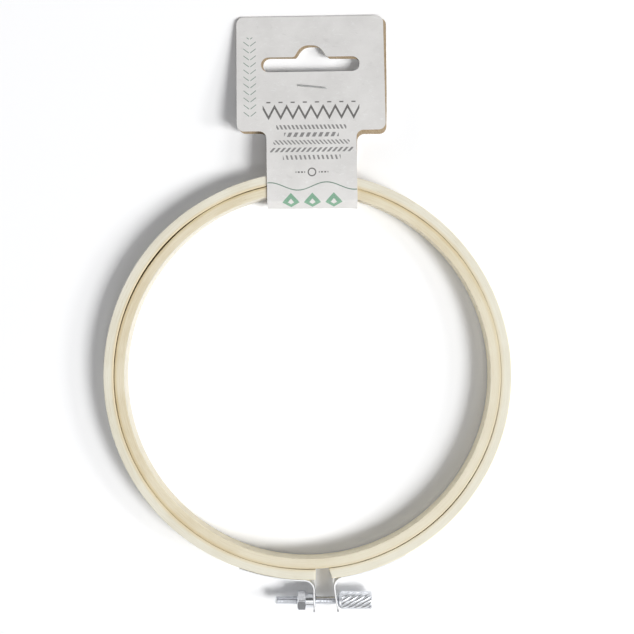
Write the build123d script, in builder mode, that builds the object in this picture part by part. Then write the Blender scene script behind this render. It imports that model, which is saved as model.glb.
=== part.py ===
from build123d import *
from math import acos, asin, atan2, ceil, cos, degrees, pi, radians, sin, tan
import os

# Embroidery hoop: a closed inner ring inside a split outer ring, drawn together by a screw clamp,
# both held in the loop of a folded hang card. Lengths are in millimetres and angles in degrees.
# The origin is on the hoop's axis, on the surface that the hoop lies on. +X points to the head of
# the thumb screw, +Y from the clamp to the card, and +Z up. Plan angles count from +X to +Y.

# The two rings
seam_diameter = 130.0
seam_gap = 0.3
inner_ring_wall = 3.5
outer_ring_wall = 3.45
ring_height = 8.5
ring_edge_radius = 0.45

# The outer ring's ends, across the hoop at half the wall, and the angle of its flexure
left_end_offset = 2.7
right_end_offset = 7.7
flexure_angle = 92.8

# The clamp's steel brackets
strap_thickness = 0.45
strap_width = 8.0
strap_seat = 0.02
bend_radius = 3.3
screw_reach = 7.6
left_lug_offset = 2.25
right_lug_offset = 9.8
left_lug_flare = 0.0
right_lug_flare = 8.0
left_strap_end_angle = 250.4
right_strap_end_angle = 298.7

# The brads that hold the straps
brad_head_diameter = 2.0
brad_head_height = 0.35
brad_shank_diameter = 0.9
brad_point_cover = 0.7
left_brad_angles = (256.6, 263.3)
right_brad_angles = (292.6, 285.9)

# The thumb screw
screw_diameter = 2.9
screw_end_chamfer = 0.4
tail_beyond_nut = 7.4
cone_small_diameter = 3.8
cone_large_diameter = 5.5
cone_length = 0.85
cone_gap = 0.06
knurl_length = 10.6
knurl_diameter = 6.0
knurl_depth = 0.38
knurl_chamfer = 0.35
knurl_count = 12
knurl_lead = 27.0
knurl_steps_per_ridge = 3
thread_pitch = 0.5
thread_depth = 0.28
thread_play = 0.2
turns_to_open = 12

# The shouldered nut, swaged into the left bracket's lug
nut_width_across_flats = 6.4
nut_length = 2.8
nut_chamfer = 0.5
nut_turn = 8.0
shoulder_diameter = 5.0
shoulder_length = 2.65
spigot_diameter = 4.0
lip_diameter = 4.7
lip_length = 0.3

# The hang card
card_thickness = 0.45
card_clearance = 0.05
card_length = 65.7
card_side_shift = 1.7
card_turn = 0.9
back_panel_turn = -0.9
head_width = 50.1
head_length = 40.0
neck_width = 30.3
card_corner_radius = 2.4
fold_reach = 4.65
crease_depth = 1.9
blunt_fold_height = 1.2
crease_radius = 0.6
neck_overrun = 1.2
lift_run = 1.7
back_rise_angle = 16.35
shoulder_bend_radius = 12.0
knee_radius = 22.0
slot_length = 33.5
slot_height = 5.2
slot_centre_from_edge = 17.0
arch_radius = 4.9
arch_rise = 4.1

# The card's staple
staple_wire_diameter = 0.54
staple_crown = 9.5
staple_clinch = 3.2
staple_bend_radius = 0.45
staple_from_edge = 25.0
staple_past_knee = 5.5
staple_offset = 0.5
staple_turn = -6.3
staple_seat = 0.02

# One length past a solid, for cuts that go right through it
overrun = 5.0

# Sizes that follow from those above
inner_ring_outer_radius = seam_diameter / 2 - seam_gap / 2
inner_ring_inner_radius = inner_ring_outer_radius - inner_ring_wall
outer_ring_inner_radius = seam_diameter / 2 + seam_gap / 2
outer_ring_outer_radius = outer_ring_inner_radius + outer_ring_wall
outer_ring_mid_radius = (outer_ring_inner_radius + outer_ring_outer_radius) / 2
ring_base = card_thickness + card_clearance
ring_top = ring_base + ring_height
mid_height = ring_base + ring_height / 2
screw_y = -(outer_ring_outer_radius + screw_reach)
screw_radius = screw_diameter / 2
thread_bore_radius = screw_radius + thread_play
left_end_angle = 270 + degrees(asin(left_end_offset / outer_ring_mid_radius))
right_end_angle = -90 + degrees(asin(right_end_offset / outer_ring_mid_radius))


def radial_plane(angle):
    """An upright plane through the hoop's axis: its x points outwards and its y up."""
    turn = radians(angle)
    return Plane(origin=(0, 0, 0), x_dir=(cos(turn), sin(turn), 0), z_dir=(sin(turn), -cos(turn), 0))


def outward_plane(radius, angle):
    """A plane at mid height that faces outwards at this radius and plan angle, with its x up."""
    turn = radians(angle)
    return Plane(
        origin=(radius * cos(turn), radius * sin(turn), mid_height),
        x_dir=(0, 0, 1),
        z_dir=(cos(turn), sin(turn), 0),
    )


# Inner ring: one closed strip
with BuildPart() as inner_ring:
    with BuildSketch(Plane.XZ):
        with Locations(((inner_ring_inner_radius + inner_ring_outer_radius) / 2, mid_height)):
            RectangleRounded(inner_ring_wall, ring_height, ring_edge_radius)
    revolve(axis=Axis.Z)
inner_ring.part.label = "inner_ring"


# Outer ring: one split strip, in two halves that meet where it flexes
def outer_ring_half(start_angle, end_angle, brad_angles):
    with BuildPart() as half:
        with BuildSketch(radial_plane(start_angle)):
            with Locations((outer_ring_mid_radius, mid_height)):
                RectangleRounded(outer_ring_wall, ring_height, ring_edge_radius)
        revolve(axis=Axis.Z, revolution_arc=end_angle - start_angle)
        for angle in brad_angles:
            with BuildSketch(outward_plane(outer_ring_inner_radius + brad_point_cover, angle)):
                Circle(brad_shank_diameter / 2)
            extrude(amount=outer_ring_wall, mode=Mode.SUBTRACT)
    return half.part


outer_ring_right = outer_ring_half(right_end_angle, flexure_angle, right_brad_angles)
outer_ring_right.label = "outer_ring_right"
outer_ring_left = outer_ring_half(flexure_angle, left_end_angle, left_brad_angles)
outer_ring_left.label = "outer_ring_left"


# Clamp brackets: a strap round the ring's end, a bend and a lug for the screw
strap_radius = outer_ring_outer_radius + strap_seat + strap_thickness / 2
strap_base = mid_height - strap_width / 2


def clamp_bracket(side, lug_offset, flare, strap_end_angle, brad_angles, hole_radius):
    """side is 1 for the bracket at +X and -1 for the other. The lug leans by flare to its side."""
    heading = Vector(side * sin(radians(flare)), -cos(radians(flare)))
    to_lug = Vector(-side * cos(radians(flare)), -sin(radians(flare)))
    screw_point = Vector(lug_offset, screw_y)
    bend_centre_radius = strap_radius + bend_radius
    lug_normal_angle = degrees(atan2(to_lug.Y, to_lug.X))
    lean = degrees(acos((screw_point.dot(to_lug) - bend_radius) / bend_centre_radius))
    leave_angle = (lug_normal_angle + side * lean) % 360
    turn = radians(leave_angle)
    bend_centre = Vector(cos(turn), sin(turn)) * bend_centre_radius
    bend_start = leave_angle - 180
    bend_sweep = (lug_normal_angle - bend_start + 180) % 360 - 180
    lug_length = (screw_point - bend_centre).dot(heading)
    with BuildPart() as bracket:
        with BuildSketch(Plane.XY.offset(strap_base)):
            for centre, radius, start, sweep in (
                ((0, 0), strap_radius, strap_end_angle, leave_angle - strap_end_angle),
                ((bend_centre.X, bend_centre.Y), bend_radius, bend_start, bend_sweep),
            ):
                with BuildLine():
                    near = CenterArc(centre, radius - strap_thickness / 2, start, sweep)
                    far = CenterArc(centre, radius + strap_thickness / 2, start, sweep)
                    Line(near @ 0, far @ 0)
                    Line(near @ 1, far @ 1)
                make_face()
        extrude(amount=strap_width)
        lug_plane = Plane(
            origin=(lug_offset, screw_y, mid_height),
            x_dir=(heading.X, heading.Y, 0),
            z_dir=(side * heading.Y, -side * heading.X, 0),
        )
        with BuildSketch(lug_plane):
            with Locations((-lug_length / 2, 0)):
                Rectangle(lug_length, strap_width)
            Circle(strap_width / 2)
            Circle(hole_radius, mode=Mode.SUBTRACT)
        extrude(amount=strap_thickness / 2, both=True)
        for angle in brad_angles:
            with BuildSketch(outward_plane(strap_radius, angle)):
                Circle(brad_shank_diameter / 2)
            extrude(amount=strap_thickness, both=True, mode=Mode.SUBTRACT)
    return bracket.part


left_bracket = clamp_bracket(
    -1, left_lug_offset, left_lug_flare, left_strap_end_angle, left_brad_angles, spigot_diameter / 2
)
left_bracket.label = "left_bracket"
right_bracket = clamp_bracket(
    1, right_lug_offset, right_lug_flare, right_strap_end_angle, right_brad_angles, thread_bore_radius
)
right_bracket.label = "right_bracket"


# Brads: a domed head on the strap and a shank in the wood
def brad(angle):
    head_radius = brad_head_diameter / 2
    seat_radius = strap_radius + strap_thickness / 2
    shank_length = seat_radius - outer_ring_inner_radius - brad_point_cover
    with BuildPart() as nail:
        with BuildSketch(outward_plane(seat_radius, angle)):
            Circle(brad_shank_diameter / 2)
        extrude(amount=-shank_length)
        with BuildSketch(radial_plane(angle)):
            with BuildLine():
                crown = (seat_radius + brad_head_height, mid_height)
                rim = (seat_radius, mid_height + head_radius)
                RadiusArc(crown, rim, -(head_radius**2 + brad_head_height**2) / (2 * brad_head_height))
                Polyline(rim, (seat_radius, mid_height), crown)
            make_face()
        revolve(axis=Axis(outward_plane(seat_radius, angle).origin, outward_plane(seat_radius, angle).z_dir))
    return nail.part


brads = {}
for side_name, angles in (("left", left_brad_angles), ("right", right_brad_angles)):
    for place, angle in zip(("outer", "inner"), angles):
        name = f"{side_name}_{place}_brad"
        brads[name] = brad(angle)
        brads[name].label = name

# Shouldered nut: hexagon, round shoulder, and a spigot swaged over the lug
lug_left_face = left_lug_offset - strap_thickness / 2
lug_right_face = left_lug_offset + strap_thickness / 2
nut_right_end = lug_left_face - shoulder_length
nut_left_end = nut_right_end - nut_length
nut_corner_radius = nut_width_across_flats / 2 / cos(pi / 6)
with BuildPart() as shoulder_nut:
    with BuildSketch(Plane.YZ.offset(nut_left_end)):
        with Locations((screw_y, mid_height)):
            RegularPolygon(nut_corner_radius, 6, rotation=90 - nut_turn)
    extrude(amount=nut_length)
    with BuildSketch(Plane.XY.offset(mid_height)):
        with BuildLine():
            Polyline(
                (nut_left_end, screw_y + nut_corner_radius - nut_chamfer),
                (nut_left_end, screw_y + nut_corner_radius),
                (nut_left_end + nut_chamfer / 2, screw_y + nut_corner_radius),
                close=True,
            )
        make_face()
    revolve(axis=Axis((0, screw_y, mid_height), (1, 0, 0)), mode=Mode.SUBTRACT)
    for start, end, diameter in (
        (nut_right_end, lug_left_face, shoulder_diameter),
        (lug_left_face, lug_right_face, spigot_diameter),
        (lug_right_face, lug_right_face + lip_length, lip_diameter),
    ):
        with BuildSketch(Plane.YZ.offset(start)):
            with Locations((screw_y, mid_height)):
                Circle(diameter / 2)
        extrude(amount=end - start)
    with BuildSketch(Plane.YZ.offset(nut_left_end)):
        with Locations((screw_y, mid_height)):
            Circle(thread_bore_radius)
    extrude(amount=lug_right_face + lip_length - nut_left_end, mode=Mode.SUBTRACT)
shoulder_nut.part.label = "shoulder_nut"

# Thumb screw: threaded shank, cone that seats in the right lug, and a head with slanting ridges
lean_at_cone = cone_small_diameter / 2 * sin(radians(right_lug_flare))
lug_half_thickness = strap_thickness / 2 / cos(radians(right_lug_flare))
cone_start = right_lug_offset + lug_half_thickness + lean_at_cone + cone_gap
head_start = cone_start + cone_length
tail_end = nut_left_end - tail_beyond_nut
knurl_radius = knurl_diameter / 2
knurl_steps = ceil(knurl_steps_per_ridge * knurl_count * knurl_length / knurl_lead)
thread_count = int((cone_start - tail_end - screw_end_chamfer) / thread_pitch)
screw_profile = [
    (tail_end, screw_y),
    (tail_end, screw_y + screw_radius - screw_end_chamfer),
    (tail_end + screw_end_chamfer, screw_y + screw_radius),
]
for turn_count in range(thread_count):
    crest = tail_end + screw_end_chamfer + thread_pitch * turn_count
    screw_profile.append((crest + thread_pitch / 2, screw_y + screw_radius - thread_depth))
    screw_profile.append((crest + thread_pitch, screw_y + screw_radius))
screw_profile += [
    (cone_start, screw_y + screw_radius),
    (cone_start, screw_y + cone_small_diameter / 2),
    (head_start, screw_y + cone_large_diameter / 2),
    (head_start, screw_y),
]
with BuildPart() as thumb_screw:
    with BuildSketch(Plane.XY.offset(mid_height)):
        with BuildLine():
            Polyline(*screw_profile, close=True)
        make_face()
    revolve(axis=Axis((0, screw_y, mid_height), (1, 0, 0)))
    ridge_stations = [(0, knurl_chamfer), (knurl_chamfer, 0)]
    ridge_stations += [
        (knurl_chamfer + (knurl_length - 2 * knurl_chamfer) * step / knurl_steps, 0)
        for step in range(1, knurl_steps + 1)
    ]
    ridge_stations.append((knurl_length, knurl_chamfer))
    for along, inset in ridge_stations:
        twist = -2 * pi * along / knurl_lead
        ridge_points = []
        for corner in range(2 * knurl_count):
            radius = knurl_radius - inset - (knurl_depth if corner % 2 else 0)
            spin = twist + corner * pi / knurl_count
            ridge_points.append((screw_y + radius * cos(spin), mid_height + radius * sin(spin)))
        with BuildSketch(Plane.YZ.offset(head_start + along)):
            with BuildLine():
                Polyline(*ridge_points, close=True)
            make_face()
    loft(ruled=True)
thumb_screw.part.label = "thumb_screw"

# Hang card: one strip of card folded round both rings, with its two panels stapled together
fold_y = inner_ring_inner_radius - fold_reach
card_plane = Plane(origin=(card_side_shift, fold_y, 0)).rotated((0, 0, card_turn))
card_side_plane = Plane(
    origin=card_plane.origin, x_dir=card_plane.y_dir, z_dir=card_plane.x_dir
)
panel_step = card_thickness + card_clearance
front_level = ring_top + card_clearance + card_thickness / 2
back_level = card_thickness / 2
level_end = outer_ring_outer_radius + neck_overrun - fold_y
staple_from_fold = card_length - staple_from_edge
knee = staple_from_fold - staple_past_knee
back_knee_height = back_level + (knee - level_end - lift_run) * tan(radians(back_rise_angle))
head_slope = (back_knee_height - back_level) / (card_length - knee)
front_path = (
    (card_length, back_level + panel_step),
    (knee, back_knee_height + panel_step),
    (level_end, front_level),
    (crease_depth, front_level),
    (0, mid_height + blunt_fold_height / 2),
    (0, mid_height),
)
front_radii = (knee_radius, shoulder_bend_radius, crease_radius, crease_radius)
back_path = (
    (card_length, back_level),
    (knee, back_knee_height),
    (level_end + lift_run, back_level),
    (crease_depth, back_level),
    (0, mid_height - blunt_fold_height / 2),
    (0, mid_height),
)
back_radii = (knee_radius, shoulder_bend_radius, crease_radius, crease_radius)


def card_panel(path, radii, panel_turn):
    """A bent sheet along the path, trimmed to the card's outline turned about the fold."""
    with BuildPart() as panel:
        with BuildSketch(card_side_plane.offset(-head_width)):
            with BuildLine():
                FilletPolyline(*path, radius=radii)
            trace(line_width=card_thickness)
        extrude(amount=2 * head_width)
        with BuildSketch(card_plane.rotated((0, 0, panel_turn)).offset(-overrun)) as outline:
            with Locations((0, (card_length - overrun) / 2)):
                Rectangle(neck_width, card_length + overrun)
            with Locations((0, card_length - head_length / 2)):
                Rectangle(head_width, head_length)
            fillet(outline.vertices().group_by(Axis.Y)[1:], card_corner_radius)
            with Locations((0, card_length - slot_centre_from_edge)):
                SlotOverall(slot_length, slot_height, mode=Mode.SUBTRACT)
                with Locations((0, slot_height / 2 + arch_rise - arch_radius)):
                    Circle(arch_radius, mode=Mode.SUBTRACT)
        extrude(amount=ring_top + 2 * overrun, mode=Mode.INTERSECT)
    return panel.part


staple_height = back_level + panel_step + head_slope * (card_length - staple_from_fold)
slope_turn = atan2(head_slope, 1)
staple_plane = (
    Plane(origin=card_plane.from_local_coords((staple_offset, staple_from_fold, staple_height)))
    .rotated((0, 0, card_turn + staple_turn))
    .rotated((-degrees(slope_turn), 0, 0))
)
wire_radius = staple_wire_diameter / 2
crown_height = card_thickness / 2 + wire_radius + staple_seat
clinch_height = -(panel_step + card_thickness / 2 + wire_radius + staple_seat)
with BuildPart() as hang_card:
    add(card_panel(front_path, front_radii, 0))
    add(card_panel(back_path, back_radii, back_panel_turn))
    with BuildSketch(staple_plane.offset(overrun)):
        with GridLocations(staple_crown, 0, 2, 1):
            Circle(wire_radius)
    extrude(amount=-2 * overrun, mode=Mode.SUBTRACT)
hang_card.part.label = "hang_card"

# Staple: a flat crown on the front, two legs through both panels, and the ends clinched inwards
with BuildPart() as card_staple:
    with BuildLine(Plane(staple_plane.origin, staple_plane.x_dir, -staple_plane.y_dir)) as staple_path:
        FilletPolyline(
            (-staple_crown / 2 + staple_clinch, clinch_height),
            (-staple_crown / 2, clinch_height),
            (-staple_crown / 2, crown_height),
            (staple_crown / 2, crown_height),
            (staple_crown / 2, clinch_height),
            (staple_crown / 2 - staple_clinch, clinch_height),
            radius=staple_bend_radius,
        )
    with BuildSketch(Plane(staple_path.line @ 0, z_dir=staple_path.line % 0)):
        Circle(wire_radius)
    sweep()
card_staple.part.label = "card_staple"

# How far the outer ring's left end swings as the thumb screw turns, for the joints' ratio
flexure_turn = radians(flexure_angle)
flexure = Vector(cos(flexure_turn), sin(flexure_turn)) * outer_ring_outer_radius
swing_arm = flexure.Y - screw_y
swing_ratio = thread_pitch / (2 * pi) / swing_arm
print("flexure at", round(flexure.X, 4), round(flexure.Y, 4))
print("ratio of swing to turn", round(swing_ratio, 9))
print("full swing", round(swing_ratio * 360 * turns_to_open, 6), "degrees")

os.makedirs("parts", exist_ok=True)
pieces = {
    "inner_ring": inner_ring.part,
    "outer_ring_right": outer_ring_right,
    "outer_ring_left": outer_ring_left,
    "left_bracket": left_bracket,
    "right_bracket": right_bracket,
    "shoulder_nut": shoulder_nut.part,
    "thumb_screw": thumb_screw.part,
    "hang_card": hang_card.part,
    "card_staple": card_staple.part,
    **brads,
}
for name, piece in pieces.items():
    export_step(piece, f"parts/{name}.step")
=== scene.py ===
import math

import bpy
import numpy as np
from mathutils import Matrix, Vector
from mathutils.geometry import delaunay_2d_cdt


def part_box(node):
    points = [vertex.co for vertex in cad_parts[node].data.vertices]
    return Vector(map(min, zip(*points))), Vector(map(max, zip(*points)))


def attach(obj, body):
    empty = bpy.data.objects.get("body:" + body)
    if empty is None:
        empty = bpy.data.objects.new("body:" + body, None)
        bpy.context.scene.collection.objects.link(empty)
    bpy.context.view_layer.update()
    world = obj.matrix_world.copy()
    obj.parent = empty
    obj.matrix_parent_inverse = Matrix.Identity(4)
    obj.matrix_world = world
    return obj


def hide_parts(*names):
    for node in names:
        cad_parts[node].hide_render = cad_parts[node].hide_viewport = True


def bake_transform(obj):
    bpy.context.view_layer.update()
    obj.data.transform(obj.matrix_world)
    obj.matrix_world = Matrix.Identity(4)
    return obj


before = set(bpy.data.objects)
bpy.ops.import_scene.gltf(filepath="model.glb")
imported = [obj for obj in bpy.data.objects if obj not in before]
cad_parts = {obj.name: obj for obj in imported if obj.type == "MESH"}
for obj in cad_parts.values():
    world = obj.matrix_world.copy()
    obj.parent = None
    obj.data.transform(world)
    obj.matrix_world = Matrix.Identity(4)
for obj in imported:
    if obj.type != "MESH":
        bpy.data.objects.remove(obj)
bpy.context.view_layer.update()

# Embroidery hoop in its hang card, lying on a white floor and seen from above. Lengths in metres.
MM = 0.001
TAU = 2 * math.pi

# Camera: the photograph's place, height and scale
PHOTO_PIXELS = 634
CAMERA_PLACE = (3.2 * MM, 19.7 * MM, 450 * MM)
PIXELS_PER_METRE = 2.98 / MM
SENSOR_WIDTH = 36.0

# The lamps: azimuth and elevation in degrees, width and height in metres, and watts
LAMP_DISTANCE = 4.5
LAMPS = {
    "key": (-28, 48, 1.55, 1.55, 164),
    "low_side": (-12, 31, 0.7, 0.7, 47),
    "front": (-76, 58, 0.9, 0.9, 14),
    "reflector": (150, 18, 3.1, 1.3, 27),
}

# The sky's diffuse light: its strength overhead, how much more it has at the horizon, and its tint
SKY_HIGH = 0.06
SKY_LOW = 0.36
SKY_TINT = (0.96, 0.985, 1.05, 1.0)

# The studio that shiny pieces reflect. Each glow goes from one direction cosine to another, and
# from one strength to another. The patches are overhead, towards the key lamp and towards the front
BEHIND_GLOW = (0.5, 0.8, 0.8, 0.14)
FRONT_GLOW = (0.3, 0.5, 1.05, 0.2)
FRONT_CEILING = (0.62, 0.8, 0.0, 0.2)
FRONT_TO_BEHIND = (-0.12, 0.18)
SIDE_GLOW = (0.3, 0.8, 0.0, 0.2)
PATCHES = (
    ((0.0, -0.14, 0.99), (0.955, 0.985, 0.0, 1.1)),
    ((0.67, -0.31, 0.67), (0.84, 0.95, 0.0, 2.6)),
    ((0.0, -0.62, 0.79), (0.97, 0.99, 0.0, 0.9)),
)

# The floor: its half width, its drop, its shade for other light, its glow where it is seen, and
# where it fades into the white background, as distances from the hoop's axis
FLOOR_HALF = 3.0
FLOOR_DROP = 0.02 * MM
FLOOR_SHADE = 0.9
FLOOR_GLOW = 0.05
FLOOR_FADE = (0.25, 0.8)

# The rings. A slanted end face also turns the rows next to it, within END_REACH radians
INNER_WALL = 3.5 * MM
OUTER_WALL = 3.45 * MM
EDGE_RADIUS = 0.23 * MM
END_ROUNDING = 0.22 * MM
LEFT_END = (2.7 * MM, 2.75 * MM)
RIGHT_END = (7.15 * MM, 8.2 * MM)
RING_STEPS = 720
END_REACH = 0.12

# The seam between the rings: a mean closing, slow waves, and places where it parts or closes, each
# with its angle and spread in degrees and its size in millimetres
SEAM_CLOSING = 0.06 * MM
SEAM_WAVES = ((2, -0.05 * MM, 280), (1, -0.035 * MM, 145))
SEAM_PARTS = ((143, 14, 0.12), (310, 18, 0.05), (272, 8, 0.03))
SEAM_CLOSES = ((12, 22, 0.026), (77, 9, 0.04), (119, 8, 0.12), (252, 12, 0.022))

# How much each ring's section swells and how far it rises round the ring, as waves, and its sinking
INNER_SWELL = ((2, 0.012, 20), (5, 0.008, 70))
INNER_RISE = ((3, 0.03 * MM, 10), (7, 0.012 * MM, 50))
OUTER_SWELL = ((2, -0.012, 100), (5, 0.01, 20))
OUTER_RISE = ((2, 0.03 * MM, 80), (7, 0.012 * MM, 120))
RING_SINK = 0.04 * MM

# The hang card
CARD_THICKNESS = 0.45 * MM
CARD_GAP = 0.05 * MM
CARD_LENGTH = 65.7 * MM
CARD_SHIFT = 1.7 * MM
CARD_TURN = math.radians(0.9)
BACK_TURN = math.radians(0.0)
BACK_SHORTFALL = 0.45 * MM
TURN_REACH = 3.0 * MM
CARD_BOW = 0.12 * MM
BOW_START = 0.45
BOW_WAVE = 5.0
BOW_ACROSS = 11 * MM
CARD_COLUMNS = 24
GRID_CLEARANCE = 0.45 * MM
HEAD_WIDTH = 50.1 * MM
HEAD_LENGTH = 40.0 * MM
NECK_WIDTH = 30.3 * MM
CORNER_RADIUS = 2.4 * MM
FOLD_REACH = 4.65 * MM
CREASE_DEPTH = 1.9 * MM
BLUNT_FOLD = 1.2 * MM
CREASE_RADIUS = 0.6 * MM
NECK_OVERRUN = 1.2 * MM
LIFT_RUN = 1.7 * MM
BACK_RISE = math.radians(16.35)
STAPLE_FROM_EDGE = 25.0 * MM
STAPLE_PAST_KNEE = 5.5 * MM
SHOULDER_BEND = 12.0 * MM
KNEE_RADIUS = 22.0 * MM
SLOT_LENGTH = 33.5 * MM
SLOT_HEIGHT = 5.2 * MM
SLOT_FROM_EDGE = 17.0 * MM
ARCH_FOOT = 5.5 * MM
ARCH_SHOULDER = 3.0 * MM
ARCH_RISE = 4.1 * MM
ARCH_RADIUS = 4.3 * MM
ARCH_ROOT = 1.1 * MM

# The staple
STAPLE_WIRE = 0.54 * MM
STAPLE_CROWN = 9.5 * MM
STAPLE_CLINCH = 3.2 * MM
STAPLE_BEND = 0.45 * MM
STAPLE_OFFSET = 0.5 * MM
STAPLE_TURN = math.radians(-6.3)
STAPLE_SEAT = 0.02 * MM
STAPLE_SIDES = 14

# The thumb screw and its nut
SCREW_RADIUS = 1.45 * MM
THREAD_PITCH = 0.5 * MM
THREAD_DEPTH = 0.28 * MM
THREAD_FILL = 1.25
THREAD_SLOPE = 3.2
THREAD_ROWS = 8
THREAD_STEPS = 36
SCREW_CHAMFER = 0.4 * MM
CONE_SMALL_RADIUS = 1.9 * MM
CONE_LARGE_RADIUS = 2.75 * MM
CONE_LENGTH = 0.85 * MM
CONE_STEPS = 64
KNURL_LENGTH = 10.6 * MM
KNURL_RADIUS = 3.0 * MM
KNURL_DEPTH = 0.26 * MM
KNURL_CHAMFER = 0.4 * MM
KNURL_HALF_GROOVE = 0.34
KNURL_CURVE = 1.15
KNURL_ROWS = 60
KNURL_STEPS = 192
KNURL_COUNT = 12
KNURL_LEAD = 27.0 * MM
NUT_FLATS = 6.4 * MM
NUT_LENGTH = 2.8 * MM
NUT_CHAMFER = 0.45 * MM
NUT_CHAMFER_SLOPE = 1.1
NUT_BACK_CHAMFER = 0.27 * MM
NUT_BACK_SLOPE = 1.6
NUT_BLUNTNESS = 0.04 * MM
NUT_LEFT_FACE = 0.94
NUT_RIGHT_FACE = 0.96
NUT_STEPS = 144
NUT_TURN = math.radians(8.0)
SHOULDER_RADIUS = 2.5 * MM
SPIGOT_RADIUS = 2.0 * MM
LIP_RADIUS = 2.35 * MM
LIP_LENGTH = 0.3 * MM
STRAP_THICKNESS = 0.45 * MM
THREAD_PLAY = 0.2 * MM

# Rounded edges of the nut, the brackets and the brads, and how much of each lug's tip is painted dark as
# shade
SOFT_EDGE = 0.12 * MM
BRACKET_EDGE = 0.08 * MM
BRAD_EDGE = 0.04 * MM
DARK_TIP_LENGTH = 0.9 * MM

# The wood's colours, as a screen shows them: pale and deep grain, and the tint at the seam
INNER_WOOD = ((235, 226, 202), (218, 204, 172), (240, 228, 198))
OUTER_WOOD = ((239, 235, 219), (224, 217, 196), (247, 233, 205))
STREAK = (186, 160, 112)
# Painted shade: the tint that darkens the wall down in the seam
SEAM_SHADE = (226, 209, 182)
# Painted light: the wood's tint on the side toward the key lamp, then the open wall's tints in shade and in
# light
LIT_SIDE_TINT = (236, 232, 214)
SHADED_WALL_TINT = (250, 240, 212)
LIT_WALL_TINT = (218, 213, 200)

# The wood's noise: how often it changes along the strip and per metre across it, detail, roughness
FIBRES = (5.0, 3200.0, 4.0, 0.62)
PORES = (26.0, 7000.0, 2.0, 0.5)
FIBRE_SLANT = 0.83

# The card's colours
CARD_PALE = (232, 230, 227)
CARD_SHADE = (217, 215, 212)
LIGHT_FIBRE = (238, 238, 236)
DARK_FIBRE = (186, 184, 180)
KRAFT_PALE = (190, 173, 148)
KRAFT_DEEP = (160, 140, 112)
KRAFT_FLECK = (112, 90, 66)
INK_DARK = (70, 68, 66)
INK_GREY = (118, 117, 116)
INK_GREEN = (110, 165, 132)
INK_DEEP_GREEN = (74, 118, 96)

# The metals' colours
BRIGHT_STEEL = (232, 234, 238)
ZINC = (236, 237, 238)
WIRE = (196, 197, 196)
# Painted shade: the dark colour of the lugs' tips
TIP_SHADE_PAINT = (92, 93, 96)

# The metals' drawing marks and clouds, per metre
MARK_SCALE = 6000.0
CLOUD_SCALE = 700.0

# Rows of printed dashes, in millimetres: height over the fold, half length, dash height and period,
# and then the dash's share of its period and its lean
DASH_ROWS = (
    (30.0, 11.8, 1.5, 1.35, 0.5, 0.5),
    (27.4, 9.2, 1.5, 2.1, 0.55, -0.5),
    (24.8, 12.8, 1.5, 1.35, 0.45, 0.9),
    (22.2, 14.0, 1.5, 1.75, 0.5, -0.9),
    (19.6, 9.7, 1.5, 1.5, 0.42, 0.3),
)

# Places that follow from the frame
ring_low, ring_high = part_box("inner_ring")
ring_base, ring_top = ring_low.z, ring_high.z
ring_middle = (ring_base + ring_top) / 2
inner_outside = (ring_high.x - ring_low.x) / 2
inner_inside = inner_outside - INNER_WALL
outer_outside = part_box("outer_ring_right")[1].x
outer_inside = outer_outside - OUTER_WALL
screw_low, screw_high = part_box("thumb_screw")
screw_y = (screw_low.y + screw_high.y) / 2
screw_z = (screw_low.z + screw_high.z) / 2
nut_low, nut_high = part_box("shoulder_nut")
fold_y = inner_inside - FOLD_REACH


# Meshes
def mesh_object(name, points, faces, attribute=None, sharp_angle=40.0):
    """A smooth mesh with the points' rest places, or other values, stored for its material."""
    mesh = bpy.data.meshes.new(name)
    mesh.from_pydata([tuple(p) for p in points], [], [tuple(f) for f in faces])
    mesh.validate()
    values = np.array(points if attribute is None else attribute, dtype=np.float32)
    layer = mesh.attributes.new("pattern", "FLOAT_VECTOR", "POINT")
    layer.data.foreach_set("vector", values.ravel())
    mesh.shade_smooth()
    mesh.set_sharp_from_angle(angle=math.radians(sharp_angle))
    piece = bpy.data.objects.new(name, mesh)
    bpy.context.scene.collection.objects.link(piece)
    return piece


def grid_faces(rows, columns, close_rows=False):
    """Quads between closed rows of points stored one after the other."""
    faces = []
    for i in range(rows if close_rows else rows - 1):
        for j in range(columns):
            a, b = i * columns, (i + 1) % rows * columns
            k = (j + 1) % columns
            faces.append((a + j, a + k, b + k, b + j))
    return faces


def rounded_section(width, height, radius, corner_steps=4, side_steps=6):
    """The outline of a rounded bar's section about its centre, counterclockwise, as x and z."""
    points = []
    corners = ((1, 1, 0), (-1, 1, 90), (-1, -1, 180), (1, -1, 270))
    for number, (sx, sz, start) in enumerate(corners):
        centre = np.array((sx * (width / 2 - radius), sz * (height / 2 - radius)))
        for step in range(corner_steps + 1):
            angle = math.radians(start + 90 * step / corner_steps)
            points.append(centre + radius * np.array((math.cos(angle), math.sin(angle))))
        nx, nz, turn = corners[(number + 1) % 4]
        after = np.array((nx * (width / 2 - radius), nz * (height / 2 - radius)))
        after = after + radius * np.array((math.cos(math.radians(turn)), math.sin(math.radians(turn))))
        last = points[-1]
        points += [last + (after - last) * step / side_steps for step in range(1, side_steps)]
    return np.array(points)


def wave(angle, *terms):
    """A sum of cosines of whole multiples of an angle: each term is count, size and phase."""
    return sum(size * np.cos(count * angle - math.radians(phase)) for count, size, phase in terms)


def hump(angle, middle, spread):
    """1 at one place round the ring, in degrees, falling to 0 on both sides."""
    away = (angle - math.radians(middle) + math.pi) % TAU - math.pi
    return np.exp(-((away / math.radians(spread)) ** 2))


def seam_closing(angle):
    """How far each ring leans over the seam: the bent strips touch in some places and part in others."""
    apart = sum(hump(angle, middle, spread) * size for middle, spread, size in SEAM_PARTS)
    near = sum(hump(angle, middle, spread) * size for middle, spread, size in SEAM_CLOSES)
    return SEAM_CLOSING + wave(angle, *SEAM_WAVES) + (near - apart) * MM


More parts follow.
